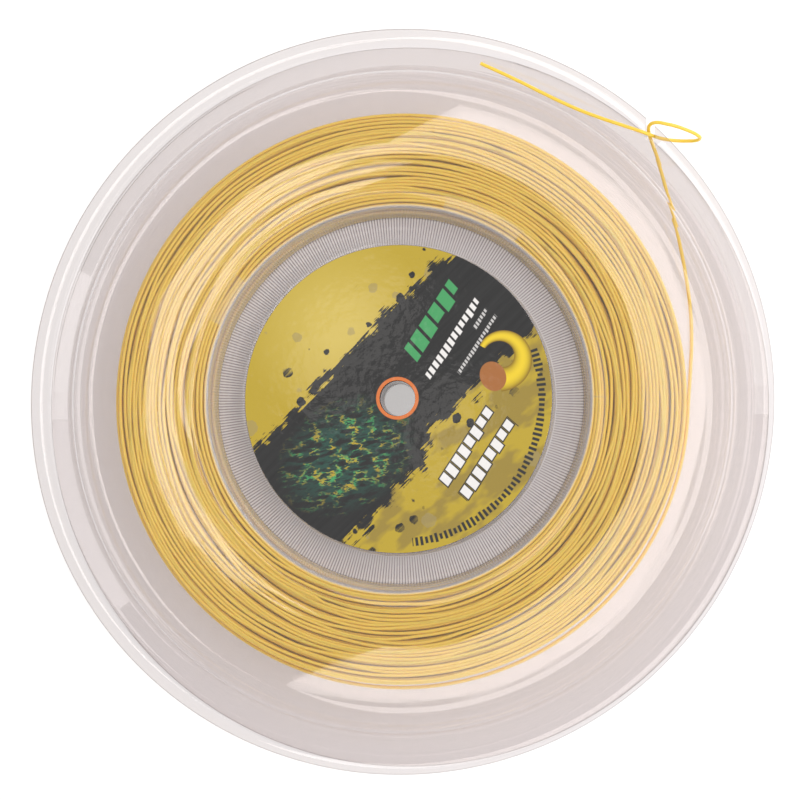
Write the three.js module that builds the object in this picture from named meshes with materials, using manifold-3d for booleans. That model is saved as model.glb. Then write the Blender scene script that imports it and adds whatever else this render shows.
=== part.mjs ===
// A storage reel of tennis string, lying flat: two thin clear half-shells set back to back,
// a round label on each, the string wound between them, and its free end tucked into a slit
// in the front rim. +Z is the reel's axis. The origin is on the axis, at the height of the
// rear rim that the reel lies on. All sizes are in millimetres.
import * as THREE from 'three';
import { mergeVertices } from 'three/addons/utils/BufferGeometryUtils.js';
import Module from 'manifold-3d';

// Heights of a half-shell's outer face above the mid-plane where the two halves meet
const RIM_HEIGHT = 14.4;
const FLANGE_HEIGHT = 9.8;
const BEAD_HEIGHT = 10.7;
const HUB_HEIGHT = 8.0;
const FLOOR_HEIGHT = 0.95;

// Radii of a half-shell, from the spindle hole out to the rim
const HOLE_RADIUS = 5.6;
const COLLAR_RADIUS = 6.2;
const HUB_RADIUS = 54.4;
const FLOOR_INNER_RADIUS = 55.0;
const FLOOR_OUTER_RADIUS = 65.2;
const DRUM_RADIUS = 67.4;
const BEAD_START = 113.6;
const BEAD_END = 117.0;
const SLOPE_START = 118.0;
const FOLD_RADIUS = 122.9;
const RIM_RADIUS = 130.0;

const SHEET = 0.8;
const GAP = 0.3;
const COLLAR_FOOT = 0.25;

// The slit cut through the front rim, where the free end is tucked in
const SLIT = { x: 89.2, y: 89.0, width: 3.6, length: 9.0 };

const LABEL_RADIUS = 54.1;
const LABEL_HOLE_RADIUS = 6.3;
const LABEL_THICKNESS = 0.3;

const STRING_DIAMETER = 1.25;
const WINDING_RADIUS = 100.0;

const ROUND_SEGMENTS = 72;
const STRING_SIDES = 8;
const STRING_STEPS = 80;

// The free end's route, from the winding's outside, up behind the front shell, through the
// slit, round the rim, back through the slit and along the front face to the cut end
const TAIL_ROUTE = [
  [101.2, -3.0, 15.4], [102.0, 8.0, 15.6], [102.6, 20.0, 16.4], [102.2, 31.0, 17.4],
  [100.8, 42.0, 18.8], [98.8, 53.0, 20.3], [96.4, 64.0, 21.5], [93.9, 74.0, 22.6],
  [91.2, 83.2, 24.2], [89.7, 87.4, 25.0], [88.8, 89.8, 26.0], [88.3, 91.4, 27.8],
  [88.2, 92.5, 29.8], [88.6, 93.2, 31.6], [89.7, 93.6, 33.0], [91.4, 93.6, 33.7],
  [93.8, 93.1, 33.8], [97.8, 92.2, 33.0], [101.6, 91.1, 31.2], [104.6, 90.1, 28.7],
  [105.9, 89.4, 25.8], [104.8, 89.2, 23.1], [101.8, 89.3, 21.7], [97.8, 89.5, 21.7],
  [94.1, 89.7, 23.2], [91.5, 89.9, 25.6], [89.7, 90.1, 28.1], [87.7, 90.5, 30.1],
  [84.6, 91.5, 31.1], [80.0, 93.2, 30.9], [71.7, 96.4, 30.0], [64.5, 99.5, 29.1],
  [57.8, 102.8, 28.5], [50.8, 106.5, 28.1], [43.9, 110.2, 28.0], [36.8, 113.8, 28.0],
  [29.9, 117.1, 28.2],
];

const wasm = await Module();
wasm.setup();

// A solid of revolution about +Z from a closed outline of [radius, height] points
function turned(outline) {
  const closed = [...outline, outline[0]].map(([r, z]) => new THREE.Vector2(r, z));
  return new THREE.LatheGeometry(closed, ROUND_SEGMENTS).rotateX(Math.PI / 2);
}

// The line that runs beside an open outline, one sheet thickness away on its inner side
function innerFace(outline) {
  const normals = outline.slice(1).map(([r, z], i) => {
    const along = new THREE.Vector2(r - outline[i][0], z - outline[i][1]).normalize();
    return new THREE.Vector2(along.y, -along.x);
  });
  return outline.map(([r, z], i) => {
    const before = normals[Math.max(i - 1, 0)];
    const after = normals[Math.min(i, normals.length - 1)];
    const mitre = before.clone().add(after).normalize();
    const reach = SHEET / mitre.dot(after);
    return [r + mitre.x * reach, z + mitre.y * reach];
  });
}

// Spindle collar, raised hub, ribbed floor, drum wall, flange, stiffening bead, slope and rim
function halfShell() {
  const beadSlope = BEAD_HEIGHT - FLANGE_HEIGHT;
  const outerFace = [
    [HOLE_RADIUS, COLLAR_FOOT],
    [COLLAR_RADIUS, HUB_HEIGHT],
    [HUB_RADIUS, HUB_HEIGHT],
    [FLOOR_INNER_RADIUS, FLOOR_HEIGHT],
    [FLOOR_OUTER_RADIUS, FLOOR_HEIGHT],
    [DRUM_RADIUS, FLANGE_HEIGHT],
    [BEAD_START, FLANGE_HEIGHT],
    [BEAD_START + beadSlope, BEAD_HEIGHT],
    [BEAD_END - beadSlope, BEAD_HEIGHT],
    [BEAD_END, FLANGE_HEIGHT],
    [SLOPE_START, FLANGE_HEIGHT],
    [FOLD_RADIUS, RIM_HEIGHT],
    [RIM_RADIUS, RIM_HEIGHT],
  ];
  return turned([...innerFace(outerFace), ...outerFace.reverse()]);
}

function toSolid(geometry) {
  const bare = geometry.clone();
  bare.deleteAttribute('normal');
  bare.deleteAttribute('uv');
  const merged = mergeVertices(bare);
  return new wasm.Manifold(new wasm.Mesh({
    numProp: 3,
    vertProperties: merged.attributes.position.array,
    triVerts: new Uint32Array(merged.index.array),
  }));
}

function toGeometry(solid) {
  const { vertProperties, triVerts } = solid.getMesh();
  const geometry = new THREE.BufferGeometry();
  geometry.setAttribute('position', new THREE.BufferAttribute(vertProperties, 3));
  geometry.setIndex(new THREE.BufferAttribute(triVerts, 1));
  geometry.computeVertexNormals();
  return geometry;
}

function withSlit(shell) {
  const cutter = new THREE.BoxGeometry(SLIT.width, SLIT.length, RIM_HEIGHT / 2);
  cutter.translate(SLIT.x, SLIT.y + SLIT.length / 2, RIM_HEIGHT);
  return toGeometry(toSolid(shell).subtract(toSolid(cutter)));
}

// The whole winding as one plain ring, clear of both shells by the gap
function winding() {
  const drumFoot = FLOOR_OUTER_RADIUS + SHEET + GAP;
  const drumTop = DRUM_RADIUS + SHEET + GAP;
  const side = FLANGE_HEIGHT - SHEET - GAP;
  return turned([
    [drumFoot, 0],
    [drumTop, -side],
    [WINDING_RADIUS, -side],
    [WINDING_RADIUS, side],
    [drumTop, side],
  ]);
}

function label() {
  const low = HUB_HEIGHT + GAP;
  const high = low + LABEL_THICKNESS;
  return turned([
    [LABEL_HOLE_RADIUS, low],
    [LABEL_RADIUS, low],
    [LABEL_RADIUS, high],
    [LABEL_HOLE_RADIUS, high],
  ]);
}

function tail() {
  const radius = STRING_DIAMETER / 2;
  const section = new THREE.Shape();
  for (let side = 0; side < STRING_SIDES; side += 1) {
    const angle = (2 * Math.PI * side) / STRING_SIDES;
    const corner = [radius * Math.cos(angle), radius * Math.sin(angle)];
    if (side === 0) section.moveTo(...corner);
    else section.lineTo(...corner);
  }
  const route = TAIL_ROUTE.map((point) => new THREE.Vector3(...point));
  return new THREE.ExtrudeGeometry(section, {
    steps: STRING_STEPS,
    extrudePath: new THREE.CatmullRomCurve3(route),
  });
}

function finish(color, roughness, opacity = 1) {
  const transparent = opacity < 1;
  return new THREE.MeshStandardMaterial({ color, roughness, metalness: 0, opacity, transparent });
}

const clearPlastic = finish('#e4dcda', 0.08, 0.3);
const yellowString = finish('#d2a840', 0.3);
const printedFoil = finish('#c9ad3c', 0.25);

function named(name, geometry, material) {
  const mesh = new THREE.Mesh(geometry, material);
  mesh.name = name;
  return mesh;
}

const reel = new THREE.Group();
reel.position.z = RIM_HEIGHT;
reel.add(named('front_half_reel', withSlit(halfShell()), clearPlastic));
reel.add(named('string_winding', winding(), yellowString));
reel.add(named('front_label', label(), printedFoil));

const turnedOver = new THREE.Group();
turnedOver.rotation.x = Math.PI;
turnedOver.add(named('rear_half_reel', halfShell(), clearPlastic));
turnedOver.add(named('rear_label', label(), printedFoil));
reel.add(turnedOver);

const part = new THREE.Group();
part.add(reel);
part.add(named('string_tail', tail(), yellowString));

export default part;
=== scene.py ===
# %% [markdown]
# # A reel of tennis string
# A storage reel holds 200 m of string between two thin, clear half-shells that are pressed from
# sheet plastic and set back to back. A printed label is stuck on each hub, and the free end of
# the string is tucked through a slit in the rim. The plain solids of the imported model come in
# first as a fixed frame. Every finished piece takes its place and its size from them.

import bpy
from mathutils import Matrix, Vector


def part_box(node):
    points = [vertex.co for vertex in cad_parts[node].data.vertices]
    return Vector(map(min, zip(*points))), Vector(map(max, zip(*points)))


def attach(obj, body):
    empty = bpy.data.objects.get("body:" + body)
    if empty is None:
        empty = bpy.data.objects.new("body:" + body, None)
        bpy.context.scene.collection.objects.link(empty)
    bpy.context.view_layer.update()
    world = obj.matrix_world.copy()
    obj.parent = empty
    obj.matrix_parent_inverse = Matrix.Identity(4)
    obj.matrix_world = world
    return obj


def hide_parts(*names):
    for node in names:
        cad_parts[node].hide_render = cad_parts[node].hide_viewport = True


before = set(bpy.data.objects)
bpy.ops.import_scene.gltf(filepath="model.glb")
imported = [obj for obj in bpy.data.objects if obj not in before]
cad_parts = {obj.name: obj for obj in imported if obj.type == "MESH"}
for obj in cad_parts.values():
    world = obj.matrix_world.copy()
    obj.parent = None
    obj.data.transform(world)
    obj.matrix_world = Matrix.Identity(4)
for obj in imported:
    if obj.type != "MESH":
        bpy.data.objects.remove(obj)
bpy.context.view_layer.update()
print("nodes:", sorted(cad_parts))

# %% Tools and units
from math import cos, pi, radians, sin, tau

import bmesh
import bpy
from mathutils import Matrix, Vector, noise

MM = 0.001
ONE_SHEET = 0.8 * MM
STRING_DIAMETER = 1.25 * MM
STRING_RADIUS = STRING_DIAMETER / 2
SAME_PLACE = 1e-7

# %% [markdown]
# The reel is the same on both sides of the plane where its halves meet. That plane is the middle
# of the winding, so all heights on a half-shell are counted from it, as the press tool's are.

# %% The middle plane and the outer sizes
winding_low, winding_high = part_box("string_winding")
MIDDLE = (winding_low.z + winding_high.z) / 2
shell_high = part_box("front_half_reel")[1]
RIM_RADIUS = shell_high.x
RIM_HEIGHT = shell_high.z - MIDDLE
LABEL_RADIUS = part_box("front_label")[1].x
print(f"middle plane {MIDDLE:.4f} m, rim {RIM_RADIUS:.4f} m by {RIM_HEIGHT:.4f} m")
print(f"label {LABEL_RADIUS:.4f} m")

# %% [markdown]
# ## The camera
# The reel lies flat and is looked at from nearly straight above, so a camera turned by a
# tracking rule would roll. Its three axes are set instead: the picture's right-hand side stays
# level with the reel's X axis, and up in the picture is square to it.

# %% Camera
CAMERA_TILT = radians(7.5)
CAMERA_SIDE = radians(-34)
CAMERA_DISTANCE = 0.74

towards_camera = Vector((
    sin(CAMERA_TILT) * cos(CAMERA_SIDE),
    sin(CAMERA_TILT) * sin(CAMERA_SIDE),
    cos(CAMERA_TILT),
))
picture_right = Vector((0, 1, 0)).cross(towards_camera).normalized()
picture_up = towards_camera.cross(picture_right)

camera = bpy.data.objects.new("camera", bpy.data.cameras.new("camera"))
bpy.context.scene.collection.objects.link(camera)
camera.data.sensor_width = 36
camera.data.lens = 93.9
turn = Matrix((picture_right, picture_up, towards_camera)).transposed().to_4x4()
camera.matrix_world = Matrix.Translation(Vector((0, 0, MIDDLE)) + towards_camera * CAMERA_DISTANCE) @ turn
bpy.context.scene.camera = camera
print("camera at", [round(x, 4) for x in camera.location])

# %% [markdown]
# ## The free end of the string
# The last of the string leaves the winding, climbs behind the front shell, comes up through the
# slit in the rim, makes a small loop round the rim's edge and lies along the front face to its
# cut end. Tennis string is a stiff, springy monofilament, so the route is a smooth curve with
# no tight bends: a Bezier spline through listed points, given a round section.

# %% Free end
TAIL_ROUTE = [
    (101.2, -3.0, 15.4), (102.0, 8.0, 15.6), (102.6, 20.0, 16.4), (102.2, 31.0, 17.4),
    (100.8, 42.0, 18.8), (98.8, 53.0, 20.3), (96.4, 64.0, 21.5), (93.9, 74.0, 22.6),
    (91.2, 83.2, 24.2), (89.7, 87.4, 25.0), (88.8, 89.8, 26.0), (88.3, 91.4, 27.8),
    (88.2, 92.5, 29.8), (88.6, 93.2, 31.6), (89.7, 93.6, 33.0), (91.4, 93.6, 33.7),
    (93.8, 93.1, 33.8), (97.8, 92.2, 33.0), (101.6, 91.1, 31.2), (104.6, 90.1, 28.7),
    (105.9, 89.4, 25.8), (104.8, 89.2, 23.1), (101.8, 89.3, 21.7), (97.8, 89.5, 21.7),
    (94.1, 89.7, 23.2), (91.5, 89.9, 25.6), (89.7, 90.1, 28.1), (87.7, 90.5, 30.1),
    (84.6, 91.5, 31.1), (80.0, 93.2, 30.9), (71.7, 96.4, 30.0), (64.5, 99.5, 29.1),
    (57.8, 102.8, 28.5), (50.8, 106.5, 28.1), (43.9, 110.2, 28.0), (36.8, 113.8, 28.0),
    (29.9, 117.1, 28.2),
]


def string_curve(name, kind, points):
    """A round string through the points, as one open spline."""
    data = bpy.data.curves.new(name, "CURVE")
    data.dimensions = "3D"
    data.bevel_depth = STRING_RADIUS
    data.use_fill_caps = True
    spline = data.splines.new(kind)
    if kind == "BEZIER":
        spline.bezier_points.add(len(points) - 1)
        for knot, place in zip(spline.bezier_points, points):
            knot.co = place
            knot.handle_left_type = knot.handle_right_type = "AUTO"
    else:
        spline.points.add(len(points) - 1)
        for knot, place in zip(spline.points, points):
            knot.co = (*place, 1)
    piece = bpy.data.objects.new(name, data)
    bpy.context.scene.collection.objects.link(piece)
    return piece


def to_mesh(piece):
    """The same piece as a smooth mesh, in place of the curve."""
    name, curve = piece.name, piece.data
    depsgraph = bpy.context.evaluated_depsgraph_get()
    data = bpy.data.meshes.new_from_object(piece.evaluated_get(depsgraph), depsgraph=depsgraph)
    bpy.data.objects.remove(piece)
    bpy.data.curves.remove(curve)
    data.name = name
    for polygon in data.polygons:
        polygon.use_smooth = True
    solid = bpy.data.objects.new(name, data)
    bpy.context.scene.collection.objects.link(solid)
    return solid


tail_points = [Vector(point) * MM for point in TAIL_ROUTE]
bare_line = string_curve("centre_line", "BEZIER", tail_points)
bare_line.data.bevel_depth = 0
bare_line = to_mesh(bare_line)
bpy.data.objects.remove(bare_line)

tail_curve = string_curve("free_string_end", "BEZIER", tail_points)
tail_curve.data.bevel_resolution = 4
free_end = to_mesh(tail_curve)
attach(free_end, "root")
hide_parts("string_tail")

# %% [markdown]
# ## The clear half-shells
# Each half is pressed from one sheet of clear plastic: a collar for the spindle, a raised hub,
# a sunken floor ring and drum wall with 400 fine ribs, a flat flange with a stiffening bead, and
# a sloping rim. It could be cut from solid rings, but the real thing is one bent sheet, so the
# outline of its outer face is drawn once, its corners are rounded, and it is spun about the axis.
# The slit, the thickness and the ribs come after that.

# %% The outline of one half
FLANGE_HEIGHT = 9.8
BEAD_HEIGHT = 10.7
HUB_HEIGHT = 8.0
FLOOR_HEIGHT = 0.95
FLANGE_PARTS = 8
LONG_LINE = 6.5 * MM
FLAT_LINE = 40 * MM
OUTSIDE_DRUM = 60 * MM

# Each corner is a radius, a height above the middle plane and the size of its rounding, in mm.
SHELL_CORNERS = [
    (5.6, 0.25, 0),
    (6.2, HUB_HEIGHT, 0.7),
    (54.4, HUB_HEIGHT, 0.6),
    (55.0, FLOOR_HEIGHT, 0.6),
    (65.2, FLOOR_HEIGHT, 0.8),
    (67.4, FLANGE_HEIGHT, 0.7),
    (68.7, FLANGE_HEIGHT, 0),
    (113.4, FLANGE_HEIGHT, 0.5),
    (114.5, BEAD_HEIGHT, 0.5),
    (116.0, BEAD_HEIGHT, 0.5),
    (117.0, FLANGE_HEIGHT, 0.45),
    (118.1, FLANGE_HEIGHT, 0.5),
    (122.9, RIM_HEIGHT / MM, 1.2),
    (RIM_RADIUS / MM - 0.4, RIM_HEIGHT / MM, 0),
    (RIM_RADIUS / MM, RIM_HEIGHT / MM, 0),
]


def draw_outline(mesh, corners):
    """Joins the corners in order by edges and rounds each one."""
    verts = [mesh.verts.new((r * MM, 0, z * MM)) for r, z, _ in corners]
    for here, there in zip(verts, verts[1:]):
        mesh.edges.new((here, there))
    for vert, (_, _, rounding) in zip(verts, corners):
        if rounding:
            bmesh.ops.bevel(mesh, geom=[vert], offset=rounding * MM, offset_type="OFFSET", segments=3,
                            profile=0.5, affect="VERTICES", material=-1)


outline = bmesh.new()
draw_outline(outline, SHELL_CORNERS)
flange_line = [edge for edge in outline.edges
               if edge.calc_length() > FLAT_LINE and edge.verts[0].co.x > OUTSIDE_DRUM]
other_lines = [edge for edge in outline.edges if LONG_LINE < edge.calc_length() < FLAT_LINE]
bmesh.ops.subdivide_edges(outline, edges=flange_line, cuts=FLANGE_PARTS - 1)
bmesh.ops.subdivide_edges(outline, edges=other_lines, cuts=1)
print("outline:", len(outline.verts), "points")

# %% [markdown]
# The ribs repeat 400 times round the floor ring and the drum wall. Each is two columns of the
# spun sheet: a groove that stays where it is, and a crest that stands proud of it. Only the outer
# face is ribbed, so each rib is a small lens. One attribute marks where the material paints shade:
# dark lines in the grooves and along the rim's sheared edge. Another marks the stretch that the
# ribbed tool leaves slightly frosted. Both are weaker on the drum wall, where the tool draws the
# sheet out.

# %% Ribs
RIBS = 400
COLUMNS_PER_RIB = 2
RIB_RISE = 0.2 * MM
RIB_ZONE = (55.2 * MM, 68.5 * MM)
FROST_ZONE = (54.2 * MM, 68.7 * MM)
RIB_FADE = 0.5 * MM
WALL_FOOT = 65.0 * MM
# How strong the painted shade is in the grooves of the drum wall.
WALL_GROOVE_SHADE = 0.45
WALL_FROST = 0.6
# The width and the strength of the painted dark line of shade along the rim's sheared edge.
SHEARED_EDGE = 0.1 * MM
PAINTED_EDGE_SHADE = 0.72


def rib_strength(radius):
    """1 on the floor ring and the drum wall, fading to 0 at the hub's foot and on the flange."""
    inner = (radius - RIB_ZONE[0]) / RIB_FADE
    outer = (RIB_ZONE[1] - radius) / RIB_FADE
    return max(0.0, min(1.0, inner, outer))


def press_ribs(mesh):
    """Raises the ribs on a closed shell's outer face, and marks painted shade in the grooves and at the
    rim.
    """
    groove = mesh.verts.layers.float.new("groove")
    frost = mesh.verts.layers.float.new("frost")
    mesh.normal_update()
    moves = []
    for vert in mesh.verts:
        radius = vert.co.xy.length
        if FROST_ZONE[0] < radius < FROST_ZONE[1]:
            vert[frost] = 1.0 if radius < WALL_FOOT else WALL_FROST
        # The rim's sheared edge gets a painted dark line of shade.
        if radius > RIM_RADIUS - SHEARED_EDGE:
            vert[groove] = PAINTED_EDGE_SHADE
        strength = rib_strength(radius)
        if strength and vert.normal.z > 0.05:
            angle = Vector((1, 0)).angle_signed(vert.co.xy)
            crest = round(angle / tau * RIBS * COLUMNS_PER_RIB) % COLUMNS_PER_RIB
            # The grooves get painted shade, weaker on the drum wall. Only the crests are moved.
            shade_depth = 1.0 if radius < WALL_FOOT else WALL_GROOVE_SHADE
            vert[groove] = strength * (1 - crest) * shade_depth
            moves.append((vert, vert.normal * crest * strength * RIB_RISE))
    for vert, rise in moves:
        vert.co += rise


# %% [markdown]
# Thin pressed sheet is never quite flat, which is why lamps reflected in it have wavy edges. The
# flange gets a slow swell of a few hundredths of a millimetre, far too small to see as a shape.

# %% Warp of the flange
WARP_ZONE = (70 * MM, 112 * MM)
WARP_DEPTH = 0.045 * MM
WARP_EDGE = 8 * MM
WARP_SCALE = 28


def warp_flange(mesh, seed):
    for vert in mesh.verts:
        radius = vert.co.xy.length
        inside = min(radius - WARP_ZONE[0], WARP_ZONE[1] - radius) / WARP_EDGE
        if inside > 0:
            swell = noise.noise(vert.co * WARP_SCALE + Vector((seed, 0, 0)))
            vert.co.z += min(inside, 1) * swell * WARP_DEPTH


# %% [markdown]
# The slit is cut after the spin: cutting planes mark its two sides and its foot on the few faces
# of the rim around it, and the faces between them are deleted. The sheet's thickness, added
# last, then closes the cut edges too.

# %% Slit
SLIT_SIDES = (87.5 * MM, 90.4 * MM)
SLIT_FOOT = 89.0 * MM
ROUND_SLIT = (84 * MM, 94 * MM)


def cut_slit(mesh):
    cuts = [((SLIT_SIDES[0], 0, 0), (1, 0, 0)), ((SLIT_SIDES[1], 0, 0), (1, 0, 0)),
            ((0, SLIT_FOOT, 0), (0, 1, 0))]
    for place, across in cuts:
        near = [face for face in mesh.faces
                if face.calc_center_median().y > ROUND_SLIT[0]
                and ROUND_SLIT[0] < face.calc_center_median().x < ROUND_SLIT[1]]
        edges = {edge for face in near for edge in face.edges}
        verts = {vert for face in near for vert in face.verts}
        bmesh.ops.bisect_plane(mesh, geom=[*near, *edges, *verts], plane_co=place, plane_no=across,
                               dist=SAME_PLACE)
    gap = [face for face in mesh.faces
           if SLIT_SIDES[0] < face.calc_center_median().x < SLIT_SIDES[1]
           and face.calc_center_median().y > SLIT_FOOT]
    bmesh.ops.delete(mesh, geom=gap, context="FACES")
    print("slit: removed", len(gap), "faces")


# %% Making both halves
SHARP_EDGE = radians(50)


def spin_shell(seed):
    """The outer face of one half about the middle plane, with its normals pointing out."""
    mesh = outline.copy()
    bmesh.ops.spin(mesh, geom=[*mesh.verts, *mesh.edges], cent=(0, 0, 0), axis=(0, 0, 1), angle=tau,
                   steps=RIBS * COLUMNS_PER_RIB, use_merge=True)
    bmesh.ops.remove_doubles(mesh, verts=mesh.verts, dist=SAME_PLACE)
    bmesh.ops.recalc_face_normals(mesh, faces=mesh.faces)
    mesh.normal_update()
    flange = next(face for face in mesh.faces if 80 * MM < face.calc_center_median().xy.length < 110 * MM)
    if flange.normal.z < 0:
        bmesh.ops.reverse_faces(mesh, faces=mesh.faces)
    warp_flange(mesh, seed)
    return mesh


def thicken(mesh):
    """Gives the sheet its wall, and its cut edges a material slot of their own."""
    skin = set(mesh.verts)
    bmesh.ops.solidify(mesh, geom=mesh.faces[:], thickness=ONE_SHEET)
    mesh.normal_update()
    inner = {vert for vert in mesh.verts if vert not in skin}
    for face in mesh.faces:
        face.smooth = True
        on_skin = sum(vert in inner for vert in face.verts)
        face.material_index = 1 if 0 < on_skin < len(face.verts) else 0
    for edge in mesh.edges:
        if edge.calc_face_angle(0) > SHARP_EDGE:
            edge.smooth = False
    press_ribs(mesh)


def finish_shell(name, mesh, node):
    bmesh.ops.translate(mesh, verts=mesh.verts, vec=(0, 0, MIDDLE))
    data = bpy.data.meshes.new(name)
    mesh.to_mesh(data)
    mesh.free()
    piece = bpy.data.objects.new(name, data)
    bpy.context.scene.collection.objects.link(piece)
    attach(piece, "root")
    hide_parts(node)
    edges = sum(polygon.material_index for polygon in data.polygons)
    print(name, len(data.polygons), "faces,", edges, "of them cut edges")
    return piece


front_mesh = spin_shell(seed=0)
cut_slit(front_mesh)
thicken(front_mesh)
front_shell = finish_shell("front_half_shell", front_mesh, "front_half_reel")

rear_mesh = spin_shell(seed=9)
thicken(rear_mesh)
bmesh.ops.rotate(rear_mesh, verts=rear_mesh.verts, cent=(0, 0, 0), matrix=Matrix.Rotation(pi, 3, "X"))
rear_shell = finish_shell("rear_half_shell", rear_mesh, "rear_half_reel")
outline.free()

# %% [markdown]
# ## The winding
# The reel holds one length of string, wound to and fro between the flanges in 27 layers. A ring
# with a bump pattern would look printed, and the clear flanges show the string itself, so every
# turn is laid: a long helix that runs across, rests against the flange, climbs on to the layer
# below it and runs back. Real winding isn't perfect, so the radius drifts slowly round the reel,
# by nearly the same amount in neighbouring layers, and some turns sink away from the flange.

# %% The rule of the winding
LAYERS = 27
FIRST_LAYER_RADIUS = 67.4 * MM
LAYER_STEP = 1.227 * MM
HALF_WIDTH = 8.3 * MM
NARROW_LAYERS = {0: 2.6 * MM, 1: 7.6 * MM}
POINTS_PER_TURN = 144
TURN_PITCH = 1.262 * MM
REST = 0.633
CLIMB = 0.14
SLOW_DRIFT = 0.9 * MM
QUICK_DRIFT = 0.13 * MM
STRAY_DRIFT = 4.0 * MM
STRAY_LIMIT = 0.22
SINK_DEPTH = 1.1 * MM
SINK_LIMIT = 0.12


def eased(share):
    share = max(0.0, min(1.0, share))
    return share * share * (3 - 2 * share)


def drift(angle, layer, across):
    """How far a turn lies off its even radius."""
    slow = noise.noise(Vector((1.3 * cos(angle), 1.3 * sin(angle), 0.16 * layer)))
    quick = noise.noise(Vector((5 * cos(angle), 5 * sin(angle), 2.3 * layer + 400 * across)))
    stray = noise.noise(Vector((1.6 * cos(angle) - 5, 1.6 * sin(angle), 3.7 * layer)))
    stray = max(0.0, abs(stray) - STRAY_LIMIT) * (1 if stray > 0 else -1) * (abs(across) / HALF_WIDTH) ** 8
    grow = min(1.0, layer / 5, (LAYERS - 1 - layer) / 3 + 0.25)
    even = SLOW_DRIFT * slow * grow
    return even + QUICK_DRIFT * quick * min(1.0, grow + 0.2) + STRAY_DRIFT * stray * grow


def sink(angle, layer):
    """How far the turns beside a flange lie away from it."""
    slow = noise.noise(Vector((1.8 * cos(angle) + 9, 1.8 * sin(angle), 1.1 * layer)))
    return max(0.0, slow - SINK_LIMIT) * SINK_DEPTH


def layer_points(layer, angle, side):
    """The points of one layer, from one flange to the other, and the angle that it ends at."""
    reach = NARROW_LAYERS.get(layer, HALF_WIDTH)
    turns = 2 * reach / TURN_PITCH + 2 * REST + 0.13 * sin(5.1 * layer)
    radius = FIRST_LAYER_RADIUS + layer * LAYER_STEP
    points = []
    for step in range(int(turns * POINTS_PER_TURN) + 1):
        done = step / POINTS_PER_TURN
        here = angle + tau * done
        share = max(0.0, min(1.0, (done - REST) / (turns - 2 * REST)))
        height = side * (2 * share - 1) * reach
        edge = abs(2 * share - 1) ** 6
        height -= (1 if height > 0 else -1) * edge * sink(here, layer)
        climb = eased((done - turns + CLIMB) / CLIMB) * LAYER_STEP
        out = radius + climb + drift(here, layer, height)
        points.append(Vector((out * cos(here), out * sin(here), MIDDLE + height)))
    return points, angle + tau * int(turns * POINTS_PER_TURN) / POINTS_PER_TURN


# %% Laying the string
PIECE_LAYERS = [range(0, 8), range(8, 13), range(13, 18), range(18, 23), range(23, 27)]


def lay_string():
    layers = []
    angle, side = 0.0, 1
    for layer in range(LAYERS):
        points, angle = layer_points(layer, angle, side)
        layers.append(points)
        side = -side
    layers[-1] += run_out(layers[-1][-1], angle)
    return layers


def run_out(start, angle):
    """The last stretch, which eases out of the winding into the start of the free end."""
    goal = tail_points[0]
    goal_angle = Vector((1, 0)).angle_signed(goal.xy) * -1
    left = (goal_angle - angle) % tau
    if left < tau / 4:
        left += tau
    steps = int(left / tau * POINTS_PER_TURN)
    points = []
    for step in range(1, steps + 1):
        share = eased(step / steps)
        here = angle + left * step / steps
        out = start.xy.length + (goal.xy.length - start.xy.length) * share
        points.append(Vector((out * cos(here), out * sin(here), start.z + (goal.z - start.z) * share)))
    return points


string_layers = lay_string()

# %% [markdown]
# A curve with a round section is the easy way to a tube. It is turned into a mesh at once, with
# six sides, because nearly 400 turns of a finer tube would be millions of faces for a string that is
# thinner than a match. Smooth shading makes six sides look round.

# %% The winding's pieces
winding_pieces = []
for layers in PIECE_LAYERS:
    points = [point for layer in layers for point in string_layers[layer][:-1]]
    points.append(string_layers[layers[-1]][-1])
    curve = string_curve(f"string_layers_{layers[0] + 1:02d}_to_{layers[-1] + 1:02d}", "POLY", points)
    curve.data.bevel_resolution = 1
    piece = to_mesh(curve)
    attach(piece, "root")
    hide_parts("string_winding")
    winding_pieces.append(piece)
    print(piece.name, len(piece.data.polygons), "faces")

# %% [markdown]
# ## Materials
# Each finish is a small network of shader nodes. One helper adds a node, sets its fields and fills
# its sockets, with a number or with another node's output, so that a network reads like a recipe.

# %% A helper for shader nodes
def new_material(name):
    material = bpy.data.materials.new(name)
    material.use_nodes = True
    material.node_tree.nodes.clear()
    return material, material.node_tree


def add_node(tree, kind, inputs=None, **fields):
    made = tree.nodes.new("ShaderNode" + kind)
    for name, value in fields.items():
        setattr(made, name, value)
    for key, value in (inputs or {}).items():
        if isinstance(value, bpy.types.NodeSocket):
            tree.links.new(value, made.inputs[key])
        else:
            made.inputs[key].default_value = value
    return made


def show(tree, shader):
    add_node(tree, "OutputMaterial", {"Surface": shader})


# %% [markdown]
# ### Clear sheet
# The sheet is smooth, faintly warm PET with a refractive index of 1.57. Glass that bends light
# casts a hard, dark shadow in a path tracer, and real sheet this thin hardly shades anything. So
# rays from the lamps, and rays that already bounced off a matt surface, pass it as if it were a
# pale filter, and every other ray meets real glass.

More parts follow.
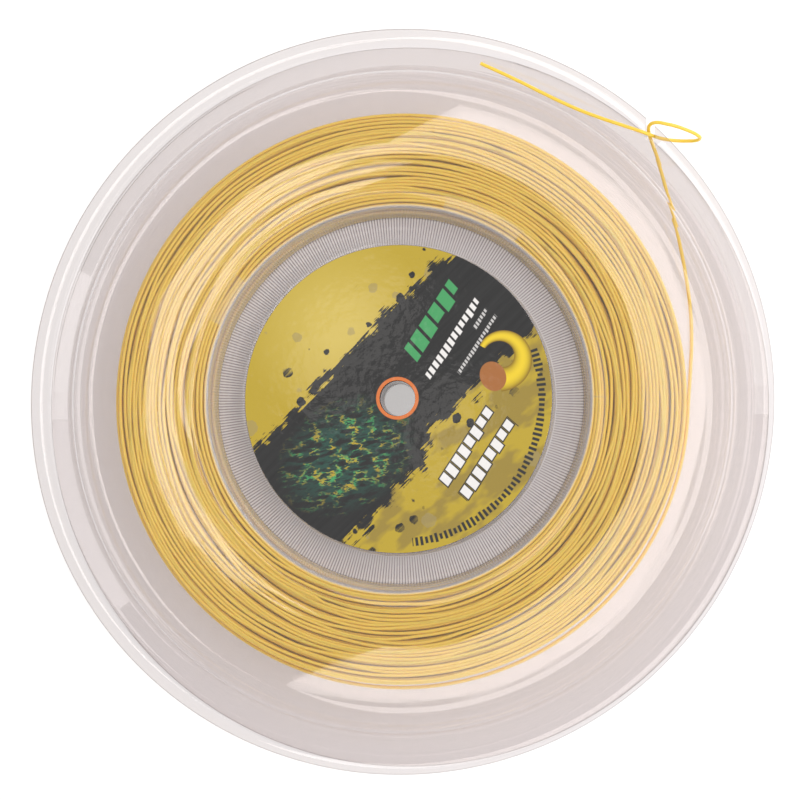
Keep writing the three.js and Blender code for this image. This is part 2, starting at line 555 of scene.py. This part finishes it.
# %% Clear sheet material
def clear_sheet():
    material, tree = new_material("clear PET sheet")
    where = add_node(tree, "TexCoord").outputs["Object"]
    scuffs = add_node(tree, "TexNoise", {"Vector": where, "Scale": 55, "Detail": 4, "Roughness": 0.6})
    haze = add_node(tree, "MapRange", {"Value": scuffs.outputs["Fac"], "From Min": 0.45, "From Max": 0.75,
                                       "To Min": 0.012, "To Max": 0.045})
    # Painted shade: in the grooves and at the rim's sheared edge, a near-black tint is mixed into the
    # sheet's colour.
    groove = add_node(tree, "Attribute", attribute_name="groove")
    shade_lines = add_node(tree, "Math", {0: groove.outputs["Fac"], 1: 2.0}, operation="POWER")
    tint = add_node(tree, "Mix", {"Factor": shade_lines.outputs[0], "A": (0.785, 0.75, 0.75, 1),
                                  "B": (0.13, 0.10, 0.115, 1)}, data_type="RGBA")
    frost = add_node(tree, "Attribute", attribute_name="frost")
    clear = add_node(tree, "MapRange", {"Value": frost.outputs["Fac"], "To Min": 1.0, "To Max": 0.62})
    glass = add_node(tree, "BsdfPrincipled", {
        "Base Color": tint.outputs["Result"], "Roughness": haze.outputs["Result"], "IOR": 1.57,
        "Transmission Weight": clear.outputs["Result"]})
    open_way = add_node(tree, "BsdfTransparent", {"Color": (0.985, 0.975, 0.975, 1)})
    path = add_node(tree, "LightPath")
    matt = add_node(tree, "MixShader", {0: path.outputs["Is Diffuse Ray"], 1: glass.outputs["BSDF"],
                                        2: open_way.outputs["BSDF"]})
    lamps = add_node(tree, "MixShader", {0: path.outputs["Is Shadow Ray"], 1: matt.outputs["Shader"],
                                         2: open_way.outputs["BSDF"]})
    show(tree, lamps.outputs["Shader"])
    return material


def cut_edge():
    material, tree = new_material("cut edge of PET sheet")
    where = add_node(tree, "TexCoord").outputs["Object"]
    marks = add_node(tree, "TexNoise", {"Vector": where, "Scale": 900, "Detail": 3})
    tone = add_node(tree, "Mix", {"Factor": marks.outputs["Fac"], "A": (0.40, 0.34, 0.33, 1),
                                  "B": (0.58, 0.52, 0.51, 1)}, data_type="RGBA")
    edge = add_node(tree, "BsdfPrincipled", {"Base Color": tone.outputs["Result"], "Roughness": 0.35,
                                             "IOR": 1.57})
    show(tree, edge.outputs["BSDF"])
    return material


clear_material, edge_material = clear_sheet(), cut_edge()
for shell in (front_shell, rear_shell):
    shell.data.materials.append(clear_material)
    shell.data.materials.append(edge_material)

# %% [markdown]
# ### String
# Polyester string is drawn through a die, so it is smooth and glossy, and its golden colour lies
# in the plastic. Light goes a little way in, which subsurface scattering gives. The colour
# wanders slightly from turn to turn, and the surface has a faint grain along it.

# %% String material
def golden_string():
    material, tree = new_material("golden monofilament")
    where = add_node(tree, "TexCoord").outputs["Object"]
    tone = add_node(tree, "TexNoise", {"Vector": where, "Scale": 240, "Detail": 3, "Roughness": 0.55})
    broad = add_node(tree, "TexNoise", {"Vector": where, "Scale": 30, "Detail": 2, "Roughness": 0.5})
    colour = add_node(tree, "Mix", {"Factor": tone.outputs["Fac"], "A": (0.88, 0.56, 0.035, 1),
                                    "B": (0.97, 0.72, 0.11, 1)}, data_type="RGBA")
    shade = add_node(tree, "Mix", {"Factor": broad.outputs["Fac"], "A": colour.outputs["Result"],
                                   "B": (0.93, 0.64, 0.06, 1)}, data_type="RGBA")
    grain = add_node(tree, "TexNoise", {"Vector": where, "Scale": 2600, "Detail": 2})
    bump = add_node(tree, "Bump", {"Height": grain.outputs["Fac"], "Strength": 0.12, "Distance": 0.0001})
    surface = add_node(tree, "BsdfPrincipled", {
        "Base Color": shade.outputs["Result"], "Roughness": 0.28, "IOR": 1.56,
        "Subsurface Weight": 0.25, "Subsurface Radius": (1.0, 0.6, 0.2), "Subsurface Scale": 0.0006,
        "Normal": bump.outputs["Normal"]})
    show(tree, surface.outputs["BSDF"])
    return material


string_material = golden_string()
for piece in (*winding_pieces, free_end):
    piece.data.materials.append(string_material)

# %% [markdown]
# ## The labels
# A label is a disc of laminated, gold-printed film with a punched hole, stuck on the hub. It is
# thin, but it has an edge that catches light, so it is a spun ring with a small bevel.

# %% Label discs
LABEL_HOLE = 6.3 * MM
LABEL_EDGE = 0.06 * MM
LABEL_STEPS = 240


def label_disc(name, node):
    low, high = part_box(node)
    mesh = bmesh.new()
    corners = [mesh.verts.new((radius, 0, height)) for radius, height in (
        (LABEL_HOLE, low.z), (LABEL_RADIUS, low.z), (LABEL_RADIUS, high.z), (LABEL_HOLE, high.z))]
    for here, there in zip(corners, [*corners[1:], corners[0]]):
        mesh.edges.new((here, there))
    bmesh.ops.bevel(mesh, geom=corners, offset=LABEL_EDGE, offset_type="OFFSET", segments=2, profile=0.5,
                    affect="VERTICES", material=-1)
    bmesh.ops.spin(mesh, geom=[*mesh.verts, *mesh.edges], cent=(0, 0, 0), axis=(0, 0, 1), angle=tau,
                   steps=LABEL_STEPS, use_merge=True)
    bmesh.ops.remove_doubles(mesh, verts=mesh.verts, dist=SAME_PLACE)
    bmesh.ops.recalc_face_normals(mesh, faces=mesh.faces)
    data = bpy.data.meshes.new(name)
    mesh.to_mesh(data)
    mesh.free()
    piece = bpy.data.objects.new(name, data)
    bpy.context.scene.collection.objects.link(piece)
    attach(piece, "root")
    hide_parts(node)
    print(name, len(data.polygons), "faces")
    return piece


front_disc = label_disc("front_label_disc", "front_label")
rear_disc = label_disc("rear_label_disc", "rear_label")

# %% [markdown]
# ### Label print
# The print is gold, crossed by a broad black brush stroke with splashes of ink, and carries rows
# of plain blocks and bars in place of words. It is drawn in millimetres, by arithmetic on
# the label's own coordinates. A small class keeps that readable: each method adds one node.

# %% Drawing with nodes
class Print:
    """Arithmetic on the label's surface. Every method gives back a socket."""

    def __init__(self, tree, flip):
        self.tree = tree
        where = add_node(tree, "TexCoord").outputs["Object"]
        self.surface = add_node(tree, "Mapping", {"Vector": where, "Scale": (1, flip, 1)}).outputs["Vector"]

    def place(self, x, y, degrees=0.0, stretch=(1.0, 1.0)):
        """Millimetres along and across a direction, from a point on the label."""
        spot = add_node(self.tree, "Mapping", {
            "Vector": self.surface, "Location": (x * MM, y * MM, 0), "Rotation": (0, 0, radians(degrees)),
            "Scale": (MM * stretch[0], MM * stretch[1], 1)}, vector_type="TEXTURE")
        return spot.outputs["Vector"]

    def split(self, vector):
        parts = add_node(self.tree, "SeparateXYZ", {"Vector": vector})
        return parts.outputs["X"], parts.outputs["Y"]

    def calc(self, operation, *values):
        return add_node(self.tree, "Math", dict(enumerate(values)), operation=operation).outputs[0]

    def least(self, first, *others):
        for other in others:
            first = self.calc("MINIMUM", first, other)
        return first

    def most(self, first, *others):
        for other in others:
            first = self.calc("MAXIMUM", first, other)
        return first

    def away(self, x, y):
        """The distance from where x and y are 0."""
        squares = self.calc("ADD", self.calc("MULTIPLY", x, x), self.calc("MULTIPLY", y, y))
        return self.calc("SQRT", squares)

    def inside(self, distance, softness=0.12):
        """1 where a distance in millimetres is above 0, with a soft edge."""
        return add_node(self.tree, "MapRange", {
            "Value": distance, "From Min": -softness, "From Max": softness}).outputs["Result"]

    def cloud(self, vector, scale, detail=3.0, roughness=0.55):
        """Noise centred on 0, about -0.5 to 0.5."""
        grain = add_node(self.tree, "TexNoise", {
            "Vector": vector, "Scale": scale, "Detail": detail, "Roughness": roughness})
        return self.calc("SUBTRACT", grain.outputs["Fac"], 0.5)

    def paint(self, mask, under, colour):
        """colour over under where mask is 1."""
        return add_node(self.tree, "Mix", {"Factor": mask, "A": under, "B": colour},
                        data_type="RGBA").outputs["Result"]


# %% Inks
GOLD_PALE_AND_SHEEN = (0.60, 0.455, 0.085, 1)
GOLD_DEEP = (0.47, 0.335, 0.022, 1)
OLIVE = (0.27, 0.19, 0.035, 1)
SMOKE = (0.33, 0.26, 0.11, 1)
BLACK = (0.006, 0.006, 0.006, 1)
CHARCOAL = (0.018, 0.018, 0.018, 1)
LEAF_GREEN = (0.055, 0.33, 0.11, 1)
TEAL = (0.02, 0.12, 0.085, 1)
WHITE = (0.80, 0.78, 0.76, 1)
ORANGE = (0.66, 0.17, 0.035, 1)
CORD_YELLOW = (0.80, 0.58, 0.02, 1)
CORD_CUT = (0.36, 0.13, 0.03, 1)
CORD_SHADE = (0.20, 0.11, 0.005, 1)

# %% Gold ground with ink splashes
STROKE_ANGLE = 45


def gold_ground(art):
    # The pale patch up and to the left is partly a print gradient and partly a painted reflection of a lamp
    # in the laminate.
    spot = art.place(-22, 26)
    x, y = art.split(spot)
    away = art.away(x, y)
    pale_and_sheen = add_node(art.tree, "MapRange", {"Value": away, "From Min": 6.0, "From Max": 34.0})
    return art.paint(pale_and_sheen.outputs["Result"], GOLD_PALE_AND_SHEEN, GOLD_DEEP)


def splashes(art, scale, largest, seed):
    """Round blots of many sizes with slightly ragged edges."""
    vector = art.place(seed, -seed)
    wobble = add_node(art.tree, "TexNoise", {"Vector": vector, "Scale": 0.55, "Detail": 2})
    bent = add_node(art.tree, "VectorMath", {0: wobble.outputs["Color"], 1: (1.6, 1.6, 0), 2: vector},
                    operation="MULTIPLY_ADD")
    cells = add_node(art.tree, "TexVoronoi", {"Vector": bent.outputs["Vector"], "Scale": scale})
    size = add_node(art.tree, "SeparateColor", {"Color": cells.outputs["Color"]}).outputs["Red"]
    radius = art.calc("MULTIPLY", art.calc("POWER", size, 2.0), largest)
    return art.calc("SUBTRACT", radius, art.calc("DIVIDE", cells.outputs["Distance"], scale))


# %% The black brush stroke
def brush_stroke(art):
    """The distance inside a broad stroke with dry, streaky edges, and its place along and across."""
    lane = art.place(0, 0, STROKE_ANGLE)
    along, across = art.split(lane)
    bristles = art.cloud(art.place(0, 0, STROKE_ANGLE, stretch=(26, 1)), 0.9, detail=5, roughness=0.7)
    blots = art.cloud(art.place(7, 3), 0.13, detail=4, roughness=0.5)
    ragged = art.calc("ADD", art.calc("MULTIPLY", bristles, 15.0), art.calc("MULTIPLY", blots, 17.0))
    wide = add_node(art.tree, "MapRange", {"Value": along, "From Min": -9.0, "From Max": -1.0,
                                           "To Min": 23.5, "To Max": 17.0}).outputs["Result"]
    upper = art.calc("SUBTRACT", 23.5, across)
    lower = art.calc("ADD", across, wide)
    return art.calc("ADD", art.least(upper, lower), ragged), along, across


# %% Rows of blocks in place of words
ROW_ANGLE = 57


def block_row(art, x, y, degrees, length, height, pitch, gap, slant=0.25, uneven=0.0):
    """The distance inside a row of slanted blocks."""
    along, across = art.split(art.place(x, y, degrees))
    slid = art.calc("SUBTRACT", along, art.calc("MULTIPLY", across, slant))
    count = art.calc("DIVIDE", slid, pitch)
    index = art.calc("FLOOR", count)
    middle = art.calc("ABSOLUTE", art.calc("SUBTRACT", art.calc("FRACT", count), 0.5))
    chance = add_node(art.tree, "TexWhiteNoise", {"W": index}, noise_dimensions="1D").outputs["Value"]
    low = art.calc("MULTIPLY", chance, uneven * height)
    return art.least(
        art.calc("SUBTRACT", (pitch - gap) / 2, art.calc("MULTIPLY", middle, pitch)),
        art.calc("SUBTRACT", height / 2, across),
        art.calc("SUBTRACT", art.calc("ADD", across, height / 2), low),
        art.calc("SUBTRACT", length / 2, art.calc("ABSOLUTE", slid)),
    )


def rim_dashes(art, radius, height, pitch, gap, start, end):
    """The distance inside a curved row of short dashes that follows the label's edge."""
    x, y = art.split(art.place(0, 0))
    away = art.away(x, y)
    angle = art.calc("ARCTAN2", y, x)
    along = art.calc("MULTIPLY", angle, radius)
    count = art.calc("DIVIDE", along, pitch)
    chance = add_node(art.tree, "TexWhiteNoise", {"W": art.calc("FLOOR", count)}, noise_dimensions="1D")
    middle = art.calc("ABSOLUTE", art.calc("SUBTRACT", art.calc("FRACT", count), 0.5))
    tall = art.calc("MULTIPLY_ADD", chance.outputs["Value"], height * 0.3, height * 0.35)
    return art.least(
        art.calc("SUBTRACT", (pitch - gap) / 2, art.calc("MULTIPLY", middle, pitch)),
        art.calc("SUBTRACT", tall, art.calc("ABSOLUTE", art.calc("SUBTRACT", away, radius))),
        art.calc("MULTIPLY", art.calc("SUBTRACT", angle, radians(start)), radius),
        art.calc("MULTIPLY", art.calc("SUBTRACT", radians(end), angle), radius),
    )


# %% A drawing of a cut cord
def cord_drawing(art, under):
    """A short bow of yellow cord that thickens towards its cut end, on top of under."""
    x, y = art.split(art.place(36.5, 14.0))
    away = art.away(x, y)
    turn_on = art.calc("WRAP", art.calc("SUBTRACT", radians(150), art.calc("ARCTAN2", y, x)), tau, 0.0)
    run = art.calc("DIVIDE", turn_on, radians(240))
    half = art.calc("MULTIPLY_ADD", run, 3.2, 1.1)
    off = art.calc("SUBTRACT", away, 7.6)
    body = art.least(art.calc("SUBTRACT", half, art.calc("ABSOLUTE", off)),
                     art.calc("MULTIPLY", art.calc("SUBTRACT", 1.0, run), 30.0))
    round_off = art.calc("DIVIDE", off, half)
    shade = art.calc("MULTIPLY", round_off, round_off)
    tube = art.paint(shade, CORD_YELLOW, CORD_SHADE)
    painted = art.paint(art.inside(body), under, tube)
    cut_x, cut_y = art.split(art.place(33.6, 7.4, 25))
    flattened = art.calc("MULTIPLY", art.calc("MULTIPLY", cut_y, cut_y), 0.72)
    cut_away = art.calc("SQRT", art.calc("ADD", art.calc("MULTIPLY", cut_x, cut_x), flattened))
    cut = art.calc("SUBTRACT", 4.5, cut_away)
    return art.paint(art.inside(cut), painted, CORD_CUT)


# %% Flecks of green ink on the black
def green_flecks(art, under):
    """Thin, winding flecks of leaf green, teal and gold in the wide end of the stroke."""
    zone = art.place(-18, -20, 30)
    x, y = art.split(zone)
    away = art.calc("SQRT", art.calc("ADD", art.calc("MULTIPLY", art.calc("MULTIPLY", x, x), 0.55),
                                     art.calc("MULTIPLY", y, y)))
    near = add_node(art.tree, "MapRange", {"Value": away, "From Min": 9.0, "From Max": 20.0,
                                           "To Min": 1.0, "To Max": 0.0}).outputs["Result"]
    strands = art.cloud(art.place(4, 9, 12, stretch=(2.6, 1)), 0.3, detail=4, roughness=0.6)
    lines = art.calc("ABSOLUTE", strands)
    patches = art.cloud(art.place(-3, 5), 0.2, detail=2)
    fleck = art.calc("MULTIPLY", art.inside(art.calc("SUBTRACT", 0.028, lines), 0.012),
                     art.inside(art.calc("SUBTRACT", patches, 0.01), 0.05))
    glow = art.calc("MULTIPLY", art.inside(art.calc("SUBTRACT", 0.07, lines), 0.05), 0.5)
    tint = art.paint(art.inside(art.cloud(art.place(1, 2), 0.35), 0.08), LEAF_GREEN, GOLD_DEEP)
    glowing = art.paint(art.calc("MULTIPLY", glow, near), under, TEAL)
    return art.paint(art.calc("MULTIPLY", fleck, near), glowing, tint)


# %% The whole print
ORANGE_RING = 7.5


def printed_foil(name, flip):
    material, tree = new_material(name)
    art = Print(tree, flip)
    stroke, along, across = brush_stroke(art)
    ink = art.inside(stroke, 0.25)

    colour = gold_ground(art)
    corner = art.inside(art.calc("MULTIPLY_ADD", across, -1.0, -9.0), 3.0)
    smudge = art.inside(art.cloud(art.place(0, 0, 40, stretch=(2, 1)), 0.09, detail=3), 0.04)
    colour = art.paint(art.calc("MULTIPLY", art.calc("MULTIPLY", corner, smudge), 0.8), colour, OLIVE)
    colour = art.paint(art.calc("MULTIPLY", art.inside(splashes(art, 0.11, 3.3, 31)), 0.6), colour, SMOKE)
    fringe = art.inside(art.calc("ADD", stroke, 11.0), 3.0)
    dots = art.inside(splashes(art, 0.2, 1.9, 12))
    black = art.most(ink, art.calc("MULTIPLY", fringe, dots))
    streaks = art.cloud(art.place(0, 0, STROKE_ANGLE, stretch=(20, 1)), 0.6, detail=4)
    soot = art.paint(art.inside(streaks, 0.25), BLACK, CHARCOAL)
    colour = art.paint(black, colour, soot)
    colour = green_flecks(art, colour)
    title = block_row(art, 12.6, 27.2, ROW_ANGLE, 29, 6.6, 5.6, 1.2, uneven=0.35)
    colour = art.paint(art.inside(title), colour, LEAF_GREEN)
    second = block_row(art, 19.6, 20.6, ROW_ANGLE, 32, 3.0, 2.4, 0.8, uneven=0.3)
    colour = art.paint(art.inside(second), colour, WHITE)
    for x, y, length in ((29.3, 27.6, 8), (28.2, 18.6, 24)):
        small = block_row(art, x, y, ROW_ANGLE, length, 1.5, 1.3, 0.5, uneven=0.3)
        colour = art.paint(art.calc("MULTIPLY", art.inside(small), 0.7), colour, WHITE)
    for x, y, length in ((24.6, -17.2, 30), (31.8, -21.6, 31)):
        heavy = block_row(art, x, y, ROW_ANGLE, length, 4.4, 3.9, 1.0, slant=0.15, uneven=0.35)
        colour = art.paint(art.inside(art.calc("ADD", heavy, 0.45)), colour, BLACK)
        colour = art.paint(art.inside(heavy), colour, WHITE)
    colour = art.paint(art.inside(rim_dashes(art, 50.6, 2.6, 1.75, 0.75, -84, 20)), colour, CHARCOAL)
    colour = cord_drawing(art, colour)
    x, y = art.split(art.place(0, 0))
    away = art.away(x, y)
    colour = art.paint(art.inside(art.calc("SUBTRACT", ORANGE_RING, away)), colour, ORANGE)

    peel = add_node(tree, "TexNoise", {"Vector": art.surface, "Scale": 300, "Detail": 3, "Roughness": 0.5})
    swell = add_node(tree, "TexNoise", {"Vector": art.surface, "Scale": 140, "Detail": 2})
    height = art.calc("MULTIPLY_ADD", swell.outputs["Fac"], 1.6, peel.outputs["Fac"])
    bump = add_node(tree, "Bump", {"Height": height, "Strength": 0.4, "Distance": 0.00012})
    surface = add_node(tree, "BsdfPrincipled", {
        "Base Color": colour, "Roughness": 0.5, "IOR": 1.5, "Specular IOR Level": 0.12,
        "Coat Weight": 1.0, "Coat Roughness": 0.05, "Coat IOR": 1.5,
        "Normal": bump.outputs["Normal"], "Coat Normal": bump.outputs["Normal"]})
    show(tree, surface.outputs["BSDF"])
    print(name, len(tree.nodes), "nodes")
    return material


front_disc.data.materials.append(printed_foil("front label print", 1))
rear_disc.data.materials.append(printed_foil("rear label print", -1))

# %% [markdown]
# ## Floor and light
# The reel lies on a white light table, as clear goods are often shown: the table glows a little
# from below, more on the right than on the left, which keeps the clear sheet bright and shadows
# faint. A large soft lamp lights the reel from the right.

# %% Floor
floor_mesh = bmesh.new()
bmesh.ops.create_grid(floor_mesh, x_segments=1, y_segments=1, size=3.0)
floor_data = bpy.data.meshes.new("floor")
floor_mesh.to_mesh(floor_data)
floor_mesh.free()
floor = bpy.data.objects.new("floor", floor_data)
bpy.context.scene.collection.objects.link(floor)
floor_material, floor_tree = new_material("white light table")
table_x = add_node(floor_tree, "SeparateXYZ", {
    "Vector": add_node(floor_tree, "TexCoord").outputs["Object"]}).outputs["X"]
table_glow = add_node(floor_tree, "MapRange", {"Value": table_x, "From Min": -0.12, "From Max": 0.14,
                                               "To Min": 0.38, "To Max": 0.52})
table = add_node(floor_tree, "BsdfPrincipled", {
    "Base Color": (0.62, 0.62, 0.62, 1), "Roughness": 0.9, "Specular IOR Level": 0.1,
    "Emission Color": (1.0, 1.0, 1.0, 1), "Emission Strength": table_glow.outputs["Result"]})
show(floor_tree, table.outputs["BSDF"])
floor.data.materials.append(floor_material)

# %% World and lamps
world = bpy.data.worlds.new("white room")
world.use_nodes = True
room = next(node for node in world.node_tree.nodes if node.type == "BACKGROUND")
room.inputs["Color"].default_value = (1.0, 0.985, 0.98, 1)
room.inputs["Strength"].default_value = 0.85
bpy.context.scene.world = world


def soft_lamp(name, place, size, radiance, tilt=0.0):
    """A rectangular lamp of a given brightness that faces down, or leans towards the reel."""
    data = bpy.data.lights.new(name, "AREA")
    data.shape = "RECTANGLE"
    data.size, data.size_y = size
    data.energy = radiance * pi * size[0] * size[1]
    lamp = bpy.data.objects.new(name, data)
    bpy.context.scene.collection.objects.link(lamp)
    lamp.location = place
    lamp.rotation_euler = (0, tilt, 0)
    return lamp


soft_lamp("key_softbox", (1.3, 0.5, 1.3), (1.6, 2.2), 1.7, tilt=radians(42))

# %% [markdown]
# The streaks of light that lie along the string are the flat front flange mirroring what hangs
# overhead. A straight lamp gives a straight reflection, so these are glowing sheets in the shape
# of arcs. Their centre is where the camera sees the middle of the reel mirrored, and the same
# mirroring makes a shape overhead look that many times smaller on the reel.

# %% Curved panels
PANEL_CENTRE = Vector((-0.1355, 0.0914, 1.25))
PANEL_SCALE = 2.693
PANEL_SLANT = radians(20)
PANEL_STEPS = 60


def curved_panel(name, radii, start, end, radiance):
    """A glowing sheet overhead in the shape of an arc, with slanted ends, that the flange mirrors."""
    mesh = bmesh.new()
    inner, outer = radii
    ends = [mesh.verts.new((inner * cos(start), inner * sin(start), 0)),
            mesh.verts.new((outer * cos(start - PANEL_SLANT), outer * sin(start - PANEL_SLANT), 0))]
    mesh.edges.new(ends)
    bmesh.ops.spin(mesh, geom=[*mesh.verts, *mesh.edges], cent=(0, 0, 0), axis=(0, 0, 1),
                   angle=end - start, steps=PANEL_STEPS)
    data = bpy.data.meshes.new(name)
    mesh.to_mesh(data)
    mesh.free()
    panel = bpy.data.objects.new(name, data)
    bpy.context.scene.collection.objects.link(panel)
    panel.location = PANEL_CENTRE
    panel.visible_camera = False
    material, tree = new_material(name + " glow")
    glow = add_node(tree, "Emission", {"Color": (1.0, 0.97, 0.95, 1), "Strength": radiance})
    show(tree, glow.outputs["Emission"])
    data.materials.append(material)


# A name, the arc's radii on the reel, where it starts and ends in degrees, and its brightness.
for name, inner, outer, start, end, radiance in (
    ("label_panel_left", 16 * MM, 40 * MM, 95, 200, 1.75),
    ("label_panel_right", 8 * MM, 30 * MM, -60, 35, 1.75),
    ("edge_panel", 109 * MM, 113 * MM, -70, 75, 1.9),
    ("right_panel", 86 * MM, 107 * MM, -92, 98, 2.9),
    ("left_panel_outer", 87.2 * MM, 90 * MM, 100, 232, 3.8),
    ("left_panel_middle", 84.2 * MM, 86.2 * MM, 120, 246, 3.8),
    ("left_panel_long", 80.9 * MM, 83.0 * MM, 106, 250, 3.8),
    ("left_panel_inner", 75.8 * MM, 78.2 * MM, 112, 205, 3.8),
):
    radii = inner * PANEL_SCALE, outer * PANEL_SCALE
    curved_panel(name, radii, radians(start), radians(end), radiance)
bpy.context.scene.view_settings.view_transform = "Standard"

# %% [markdown]
# ## Finish
# The finished reel has to fill the same box as the imported model. Last, the view layer is
# brought up to date.

# %% Finish
bpy.context.view_layer.update()
